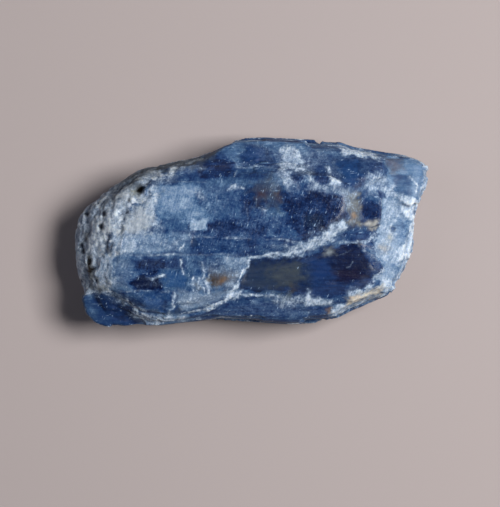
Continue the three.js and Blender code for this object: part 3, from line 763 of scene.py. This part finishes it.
over = np.flatnonzero((broad[:, 2] > -0.05) & (z > ZONES_ABOVE))
seen = base[over]
on_top = ramp(broad[over, 2], -0.05, 0.2)
wander = np.zeros((len(seen), 3))
wander[:, 0] = 0.42 * ripple(seen, (1.8, 0.8, 1.5), 5) + 0.16 * ripple(seen, (0.45, 0.3, 0.4), 6)
wander[:, 1] = 0.3 * ripple(seen, (1.6, 0.9, 1.5), 7) + 0.14 * ripple(seen, (0.5, 0.25, 0.4), 8)
uneven = 0.5 + 0.9 * ripple(seen, 0.7, 11)
patchy = 0.5 + 0.9 * ripple(seen, 0.45, 12)


def softness(outline):
    """How soft a zone's border is, from 0.3 for a small zone to 1 for a large one."""
    return min(1.0, 0.3 + 0.25 * np.ptp(np.array(outline), axis=0).min())


print("outlines wander by up to", round(float(abs(wander).max()), 2), "mm")

# %% [markdown]
# ## Lay the blues
# Zones are laid one over another, like glazes. Where no zone is, on the sides, the blue changes slowly along
# the blades and from one broken layer to the next. A blade's clean faces are also marked as calm, because
# the material's patterns are quieter there.

# %% Lay the blues
CALM_FACES = ("window", "recess", "knob")
blue = 0.4 + 0.22 * ripple(base, (6.0, 2.2, 2.2), 9) + 0.42 * (side_cells[2] - 0.45) * sideways
calm = np.zeros(len(base))
for name, outline, tone, border in BLUES:
    shift = wander * min(1.6, 0.4 + 2 * border) * softness(outline)
    share = ramp(inside_by(seen + shift, outline), -border / 2, border / 2) * on_top
    blue[over] += (tone - blue[over]) * share
    if name in CALM_FACES:
        calm[over] = np.maximum(calm[over], ramp(inside_by(seen + 0.5 * wander, outline), 0.0, 0.4) * on_top)
print("the blue runs from", blue.min().round(2), "to", blue.max().round(2))

# %% [markdown]
# ## Lay the frost
# Frost keeps the strongest of the zones and lines that reach a point. A line also changes its width and its
# strength as it goes, so that it looks scratched or torn and not drawn.

# %% Lay the frost
frost = np.zeros(len(base))
rise = np.zeros(len(base))
for _, outline, strength, lift in FROSTS:
    soft = softness(outline)
    inside = inside_by(seen + soft * wander, outline) / soft
    share = ramp(inside + 0.5 * (uneven - 0.5), -0.75, 0.65) * on_top
    frost[over] = np.maximum(frost[over], strength * share)
    rise[over] += lift * share

for line, half, strength, lift in FROST_LINES:
    width = half * (0.6 + 0.9 * np.clip(uneven, 0, 1.2))
    inside = width - from_line(seen + wander * min(0.7, half * 2.5), line)
    share = ramp(inside, -0.08 - half / 3, 0.1 + half / 3) * on_top
    frost[over] = np.maximum(frost[over], strength * share * (0.65 + 0.45 * np.clip(patchy, 0, 1)))
    rise[over] += lift * share

cleared = np.zeros(len(base))
for _, outline, strength in CLEARED:
    share = ramp(inside_by(seen + 0.6 * wander, outline), -0.25, 0.25)
    cleared[over] = np.maximum(cleared[over], strength * share)
print("frosted share of the skin:", round(float((frost > 0.4).mean()), 3))

# %% [markdown]
# ## Lay the tints, the dirt with its painted shade, and the pits
# These are colours, kept as red, green and blue with their strength as a fourth number. Hex colours are in
# sRGB, the way a screen stores them, and Blender counts light, so one helper turns them linear. Last, the
# tops of the blades get low steps of their own, except where they are calm or crusted.

# %% Lay the tints, the dirt with its painted shade, and the pits
TOP_STEP = 0.05


def linear(code):
    """A hex colour as linear red, green and blue."""
    parts = np.array([int(code[i : i + 2], 16) for i in (1, 3, 5)]) / 255
    return np.where(parts <= 0.04045, parts / 12.92, ((parts + 0.055) / 1.055) ** 2.4)


stain = np.zeros((len(base), 4))
dirt_and_shading = np.zeros((len(base), 4))
for zones, layer in ((TINTS, stain), (DIRT_AND_SHADING, dirt_and_shading)):
    for _, outline, code, strength in zones:
        soft = softness(outline)
        inside = inside_by(seen + 1.3 * soft * wander, outline) / soft
        share = ramp(inside + 0.5 * (patchy - 0.5), -0.7, 0.6) * (strength * on_top)
        layer[over] += (np.append(linear(code), 1.0) - layer[over]) * share[:, None]

# Each pit is pressed in, and its dark colour, laid into the same layer as the dirt, is painted shade.
for place, half, sink, code in PITS:
    gap = np.linalg.norm((seen + 0.4 * wander)[:, :2] - place, axis=1)
    share = ramp(half - gap, -0.12, 0.12) * on_top
    rise[over] -= sink * share
    dirt_and_shading[over] += (np.append(linear(code), 1.0) - dirt_and_shading[over]) * share[:, None]

rise[over] += TOP_STEP * (top_cells[0][over] - 0.5) * on_top * (1 - crust[over]) * (1 - calm[over])
print("stained share:", round(float((stain[:, 3] > 0.3).mean()), 3))

# %% [markdown]
# ## Move the skin
# Every point goes inwards by its carved depth and up by its rise. Frosted places are rough, with ridges that
# run aslant. The resting face stays flat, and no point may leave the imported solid's box.

# %% Move the skin
SLANT = 1.25  # radians from X, the way that fibres and cleavage cracks run
FLAT_BELOW = 0.3  # mm above the floor

aslant = Matrix.Rotation(-SLANT, 3, "Z")
ridges = ripple(base @ np.array(aslant).T, (1.3, 0.32, 0.5), 87)
low_down = z < FLAT_BELOW
depth[low_down] *= ramp(z[low_down], 0.02, FLAT_BELOW)
carved = base - facing * depth[:, None]
carved[:, 2] += smoothed(rise, 2, 0.7)
roughened = frost * (0.05 * ridges + 0.05 * ripple(base, 0.4, 91))
roughened += 0.012 * ripple(base, (1.6, 0.24, 0.24), 93)
carved += facing * (roughened * ramp(z, 0.05, 0.4))[:, None]
carved = np.clip(carved, np.array(cad_low) / MM, np.array(cad_high) / MM)

skin.vertices.foreach_set("co", carved.ravel())
skin.update()
facing = read(skin.vertices, "normal", 3)
print("points moved by up to", round(float(abs(carved - base).max()), 2), "mm")

# %% [markdown]
# ## Worn edges, and painted shade in crevices
# Where the skin bends outwards it is an edge, and edges of kyanite bruise white, though never evenly. Where
# it bends inwards it is a crevice, and the colours are darkened there, which is painted shade. Comparing each
# point with the average of its neighbours tells the two apart. Slopes on the top count as broken, because
# only flat faces are cleavage.

# %% Find edges and crevices
NEAR_ROUNDS, FAR_ROUNDS = 3, 14

bend_small = -((smoothed(carved, NEAR_ROUNDS) - carved) * facing).sum(1)
bend_large = -((smoothed(carved, FAR_ROUNDS) - carved) * facing).sum(1)
broken = 1 - ramp(smoothed(facing, 3)[:, 2], 0.95, 0.992)
bruised = ramp(bend_small, 0.02, 0.07) + 0.7 * ramp(bend_large, 0.1, 0.28)
bruised *= 0.25 + 0.9 * ramp(ripple(base, 0.9, 97), -0.3, 0.5)
# ridge is high on outward edges and low in crevices. The colour sums lighten worn edges with it and darken
# crevices with it, which is painted shade.
ridge = np.clip(0.5 + bend_small * 7 + bend_large * 1.6, 0, 1)
print("bruised", round(float((bruised > 0.5).mean()), 3))

# %% [markdown]
# ## Frost beyond the zones
# Four more places are frosted: bruised edges, some of the broken layers on the sides, the right end, and a
# veil on the blades beside the crust, where its flakes thin out. Then the clear places are cleared.

# %% Frost the edges and the sides
EDGE_FROST, END_FROST, VEIL = 0.6, 0.62, 0.5

frost = np.maximum(frost, np.clip(bruised, 0, 1) * EDGE_FROST * (1 - crust))
side_frost = 0.1 + 0.55 * ramp(ripple(base, (2.4, 0.7, 0.45), 95) + 0.6 * (side_cells[1] - 0.5), 0.1, 0.7)
frost = np.maximum(frost, side_frost * (1 - upward) * (1 - crust) * (z > 0.1))
right_end = ramp(x, 10.5, 13.0) * (1 - upward)
beside_crust = ramp(into_crust, -1.5, 0.2) * upward
frost = np.maximum.reduce([frost, right_end * END_FROST, beside_crust * VEIL]) * (1 - cleared)
print("frosted share of the skin now:", round(float((frost > 0.4).mean()), 3))

# %% [markdown]
# ## Hand the skin over
# The material needs to know what is where. Numbers stored on the skin's points say it, and they stay in
# place in every view. The upper blade is crossed by cracks that run aslant, and the lower ones have streaks
# along them, so "hatched" says which of the two shows.

# %% Store the zones and make the piece
HATCHED_FROM, HATCHED_FULLY = 7.3, 7.8  # mm above the floor

# The crust's tone changes at random from grain to grain. It is also lighter on the raised lumps and darker in
# the gaps where grains fell out, and that part is painted light and shade that follow the carved relief.
crust_tone_and_shade = 0.56 + 0.2 * (grain_number - 0.5) + 0.36 * (fine_number - 0.5) + 0.14 * lumps - 0.22 * gaps
stored = {"blue": blue, "frost": frost, "crust": crust, "crust_tone_and_shade": crust_tone_and_shade, "ridge": ridge,
          "calm": calm, "broken": broken, "hatched": ramp(z, HATCHED_FROM, HATCHED_FULLY)}
for name, values in stored.items():
    skin.attributes.new(name, "FLOAT", "POINT").data.foreach_set("value", np.clip(values, 0, 1))
for name, layer in {"stain": stain, "dirt_and_shading": dirt_and_shading}.items():
    skin.attributes.new(name, "FLOAT_COLOR", "POINT").data.foreach_set("color", layer.ravel())

skin.transform(Matrix.Scale(MM, 4))
blades = bpy.data.objects.new("blade_cluster", skin)
bpy.context.collection.objects.link(blades)
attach(blades, "root")
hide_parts("kyanite_cluster")
print("stored:", ", ".join(list(stored) + ["stain", "dirt_and_shading"]))

# %% [markdown]
# ## A helper for nodes
# A material is a tree of nodes, and adding each by hand takes several lines. One helper adds any node, sets
# or links its inputs, and fills a colour ramp.

# %% A helper for nodes
def put(tree, kind, inputs=None, stops=None, **settings):
    """Adds a node with its settings, sets or links its inputs, and fills a colour ramp's stops."""
    node = tree.nodes.new(kind)
    for name, value in settings.items():
        setattr(node, name, value)
    for name, value in (inputs or {}).items():
        if isinstance(value, bpy.types.NodeSocket):
            tree.links.new(value, node.inputs[name])
        else:
            node.inputs[name].default_value = value
    for number, (place, code) in enumerate(stops or []):
        elements = node.color_ramp.elements
        stop = elements[number] if number < 2 else elements.new(place)
        stop.position = place
        stop.color = (*linear(code), 1)
    return node


# %% [markdown]
# ## Noise of real sizes
# Kyanite has streaks and clouds along its blades, fine cracks and fibres aslant to them, and flecks a tenth
# of a millimetre wide. Each is noise stretched to its real size. The grit stands for flakes that are finer
# still: it is drawn as coarse as it needs to be to show.

# %% Noise of real sizes
PATTERNS = {
    # name: size in mm along X, Y and Z, detail, roughness, turn about Z
    "streaks": ((2.8, 0.16, 0.16), 3, 0.6, 0.0),
    "cloud": ((1.9, 1.1, 1.1), 4, 0.6, 0.0),
    "mottle": ((0.6, 0.42, 0.42), 3, 0.6, 0.0),
    "cracks": ((0.85, 0.13, 0.5), 3, 0.6, SLANT),
    "fibres": ((0.8, 0.17, 0.35), 3, 0.6, SLANT),
    "upright": ((0.42, 0.12, 0.3), 1, 0.5, SLANT),
    "level": ((0.5, 0.12, 0.3), 1, 0.5, 0.05),
    "grit": ((0.17, 0.17, 0.17), 2, 0.7, 0.0),
}
print(len(PATTERNS), "kinds of noise")

# %% [markdown]
# ## Sums of noise
# Each look is a sum: the stored zone, plus several noises times a weight. The number before the terms makes
# up for the noises' middle, which is 0.5. Where a sum has a span, it becomes a soft switch from 0 to 1. The
# ticks are where a stretched noise is at its highest, so they are few, short and all point one way.

# %% Sums that make each look
SUMS = {
    # name: start, (what, weight) terms, span
    "unrest": (-0.95, [("lines", 0.44), ("cloud", 0.58), ("mottle", 0.46), ("grit", 0.38)], None),
    "unevenly": (0.2, [("mottle", 0.8), ("cloud", 0.7)], None),
    "upright_ticks": (0.0, [("upright", 1.0), ("cloud", 0.35), ("mottle", 0.2), ("calm", -0.08)],
                      (0.95, 1.08)),
    "level_ticks": (0.0, [("level", 1.0), ("cloud", 0.35), ("mottle", 0.2), ("calm", -0.08)], (0.98, 1.1)),
    "veil_share": (-0.6, [("frost", 1.0), ("mottle", 0.35), ("cloud", 0.3), ("grit", 0.4)], (-0.05, 0.95)),
    "veil_tone": (-0.6, [("fibres", 0.6), ("mottle", 0.6), ("grit", 0.6), ("frost", 0.3)], None),
    "frost_share": (-1.37, [("frost", 0.75), ("lines", 0.3), ("fibres", 0.5), ("mottle", 0.4), ("grit", 0.45),
                            ("ridge", 0.2)], (-0.15, 0.25)),
    # In the two sums below, ridge darkens crevices, which is painted shade, and lightens worn edges.
    "frost_tone": (-0.95, [("mottle", 0.45), ("grit", 0.5), ("fibres", 0.75), ("ridge", 0.5),
                           ("frost", 0.45)], None),
    "crust_value": (-0.74, [("crust_tone_and_shade", 1.0), ("grit", 0.92), ("mottle", 0.6), ("ridge", 0.25)], None),
    "crust_share": (-0.5, [("crust", 1.0), ("mottle", 0.6), ("grit", 0.4)], (0.3, 0.75)),
    "relief": (0.0, [("lines", 0.4), ("grit", 0.25), ("mottle", 0.4)], None),
}


def fields_of(tree):
    """The stored zones, the noises and their sums, as sockets by name."""
    place = put(tree, "ShaderNodeTexCoord").outputs["Object"]
    fields = {}
    for name in stored:
        fields[name] = put(tree, "ShaderNodeAttribute", attribute_name=name).outputs["Fac"]
    for name, (size, detail, roughness, turn) in PATTERNS.items():
        scaled = put(tree, "ShaderNodeMapping", {
            "Vector": place, "Rotation": (0, 0, turn), "Scale": [side * MM for side in size],
        }, vector_type="TEXTURE").outputs[0]
        fields[name] = put(tree, "ShaderNodeTexNoise", {
            "Vector": scaled, "Scale": 1.0, "Detail": detail, "Roughness": roughness}).outputs["Fac"]
    fields["lines"] = put(tree, "ShaderNodeMix", {
        "Factor": fields["hatched"], "A": fields["streaks"], "B": fields["cracks"],
    }, data_type="FLOAT").outputs[0]
    for name, (total, terms, span) in SUMS.items():
        for source, weight in terms:
            total = put(tree, "ShaderNodeMath", {0: fields[source], 1: weight, 2: total},
                        operation="MULTIPLY_ADD").outputs[0]
        if span:
            total = put(tree, "ShaderNodeMapRange", {
                "Value": total, "From Min": span[0], "From Max": span[1],
            }, interpolation_type="SMOOTHSTEP").outputs[0]
        fields[name] = total
    return fields


print(len(SUMS), "sums")

# %% [markdown]
# ## The colours of the stone
# From the inside out: blue crystal, the stains in it, a milky veil of bruises too fine to see, white ticks
# where splinters lifted, white frost on the breaks, the grey crust, and on top the dirt, in one layer with
# painted shade and a patch of painted light. Each is mixed over the one below by its own share, in that order.
# The blue runs from ink to ice through slightly greyer tones.

# %% Layer the colours
RAMPS = {
    # field: the field that picks from the ramp, and the ramp's places and colours
    "blue": ("blue_tone", [
        (0.0, "#061233"), (1.0, "#b9cde4"), (0.12, "#091f48"), (0.25, "#14305e"), (0.38, "#26446f"),
        (0.5, "#39577e"), (0.62, "#517095"), (0.75, "#728aaa"), (0.88, "#96adc8")]),
    "frost": ("frost_tone", [(0.2, "#7a8fab"), (0.95, "#e2e8ee"), (0.45, "#99abc4"), (0.65, "#b6c5d8")]),
    "veil": ("veil_tone", [(0.15, "#4c6484"), (0.85, "#92a6be")]),
    "crust": ("crust_value", [
        (0.0, "#232834"), (1.0, "#ccd6e2"), (0.22, "#4c586b"), (0.45, "#74839a"), (0.7, "#9aaabf")]),
}
TICK_COLOUR = (*linear("#7f97b6"), 1)


def layered_colour(tree, fields):
    """The stone's colour: each layer mixed over the one below it."""
    above = {"ticks": TICK_COLOUR}
    for name, (tone, stops) in RAMPS.items():
        above[name] = put(tree, "ShaderNodeValToRGB", {0: fields[tone]}, stops).outputs[0]
    for name in ("stain", "dirt_and_shading"):
        held = put(tree, "ShaderNodeAttribute", attribute_name=name).outputs
        above[name] = held["Color"]
        fields[name + "_share"] = put(tree, "ShaderNodeMath", {
            0: held["Alpha"], 1: fields["unevenly"]}, operation="MULTIPLY", use_clamp=True).outputs[0]
    colour = above["blue"]
    for share, name in (
        ("stain_share", "stain"), ("veil_share", "veil"), ("upright_ticks", "ticks"),
        ("level_ticks", "ticks"), ("frost_share", "frost"), ("crust_share", "crust"), ("dirt_and_shading_share", "dirt_and_shading"),
    ):
        colour = put(tree, "ShaderNodeMix", {0: fields[share], 6: colour, 7: above[name]},
                     data_type="RGBA").outputs[2]
    return colour


print(len(RAMPS), "colour ramps")

# %% [markdown]
# ## Kyanite
# Kyanite is an aluminium silicate, grown in the rock and split along its cleavage, which leaves glassy to
# pearly faces. Its IOR of about 1.72 is higher than glass's. A fresh face has a roughness near 0.2, and
# breaks, bruises and crust are duller. So little of a face is fresh that the shine is turned well down. The
# crystal is cloudy and not clear, so a little light spreads under its surface and none passes through.

# %% Make the kyanite
FRESH_ROUGHNESS = 0.18
DULLER = {"veil_share": 0.3, "frost_share": 0.2, "crust_share": 0.6, "mottle": 0.1, "broken": 0.34}
QUIETER_WHERE_CALM = 0.4
BUMP_HEIGHT = 0.05
LIGHT_SPREAD = 0.4


def kyanite():
    """Split kyanite: blue and glassy on clean faces, white where broken, under a grey crust."""
    material = bpy.data.materials.new("kyanite")
    material.use_nodes = True
    tree = material.node_tree
    tree.nodes.clear()
    fields = fields_of(tree)
    lively = put(tree, "ShaderNodeMath", {0: fields["calm"], 1: -QUIETER_WHERE_CALM, 2: 1.0},
                 operation="MULTIPLY_ADD").outputs[0]
    fields["blue_tone"] = put(tree, "ShaderNodeMath", {0: fields["unrest"], 1: lively, 2: fields["blue"]},
                              operation="MULTIPLY_ADD").outputs[0]
    roughness = FRESH_ROUGHNESS
    for source, weight in DULLER.items():
        roughness = put(tree, "ShaderNodeMath", {0: fields[source], 1: weight, 2: roughness},
                        operation="MULTIPLY_ADD").outputs[0]
    height = put(tree, "ShaderNodeMath", {0: fields["relief"], 1: lively}, operation="MULTIPLY").outputs[0]
    bump = put(tree, "ShaderNodeBump", {"Height": height, "Distance": BUMP_HEIGHT * MM, "Strength": 0.8})
    shader = put(tree, "ShaderNodeBsdfPrincipled", {
        "Base Color": layered_colour(tree, fields), "Roughness": roughness, "IOR": 1.72,
        "Specular IOR Level": 0.14, "Normal": bump.outputs[0], "Subsurface Weight": 0.12,
        "Subsurface Scale": LIGHT_SPREAD * MM, "Subsurface Radius": (0.5, 0.8, 1.6)})
    put(tree, "ShaderNodeOutputMaterial", {"Surface": shader.outputs[0]})
    return material


blades.data.materials.clear()
blades.data.materials.append(kyanite())
print("nodes in the kyanite:", len(blades.active_material.node_tree.nodes))

# %% [markdown]
# ## Floor
# The stone lies on pale unbleached paper. It was pressed matt, so it shows the stone's shadow and no shine.
# One large square is enough, because its edges stay out of view.

# %% The floor
FLOOR_WIDTH = 400


def matt_paper():
    """Pale unbleached paper, pressed matt."""
    material = bpy.data.materials.new("matt_paper")
    material.use_nodes = True
    shader = material.node_tree.nodes["Principled BSDF"]
    shader.inputs["Base Color"].default_value = (*linear("#a59b9c"), 1)
    shader.inputs["Roughness"].default_value = 0.9
    return material


half = FLOOR_WIDTH * MM / 2
floor_mesh = bpy.data.meshes.new("floor")
corners = [(-half, -half, 0), (half, -half, 0), (half, half, 0), (-half, half, 0)]
floor_mesh.from_pydata(corners, [], [(0, 1, 2, 3)])
floor_mesh.materials.append(matt_paper())
floor = bpy.data.objects.new("floor", floor_mesh)
bpy.context.collection.objects.link(floor)
print("floor:", FLOOR_WIDTH, "mm wide")

# %% [markdown]
# ## Light
# A wide soft lamp stands high on the right, like a window, so the shadow falls to the left and its edge is
# soft. A weaker, bluer one fills the shadow side, and a dim world keeps the shadow from going black.

# %% The lamps
LAMPS = {
    # place and width in mm, watts, colour
    "window_light": ((140, 28, 240), 110, 1.07, "#fffdf8"),
    "fill_light": ((-220, 60, 280), 220, 0.13, "#eef2ff"),
}
WORLD_COLOUR, WORLD_STRENGTH = "#d5dbe6", 0.055

for name, (place, width, power, code) in LAMPS.items():
    data = bpy.data.lights.new(name, "AREA")
    data.shape = "SQUARE"
    data.size = width * MM
    data.energy = power
    data.color = linear(code)
    lamp = bpy.data.objects.new(name, data)
    lamp.location = Vector(place) * MM
    lamp.rotation_euler = (-lamp.location).to_track_quat("-Z", "Y").to_euler()
    bpy.context.collection.objects.link(lamp)
    print(name, "at", place, "mm")

world = bpy.data.worlds.new("room")
world.use_nodes = True
world.node_tree.nodes["Background"].inputs["Color"].default_value = (*linear(WORLD_COLOUR), 1)
world.node_tree.nodes["Background"].inputs["Strength"].default_value = WORLD_STRENGTH
bpy.context.scene.world = world
bpy.context.scene.view_settings.view_transform = "Standard"

# %% [markdown]
# ## Camera
# The camera looks straight down from a quarter of a metre, a little left of and below the stone's middle. A
# long lens keeps the sides from leaning outwards.

# %% The camera
CAMERA_PLACE = (-0.17, -1.7, 260)
LENS, SENSOR = 216.9, 36

data = bpy.data.cameras.new("camera")
data.lens = LENS
data.sensor_width = SENSOR
data.clip_start = 0.01
camera = bpy.data.objects.new("camera", data)
camera.location = Vector(CAMERA_PLACE) * MM
bpy.context.collection.objects.link(camera)
bpy.context.scene.camera = camera
print("the view is", round(SENSOR / LENS * CAMERA_PLACE[2]), "mm wide at the floor")
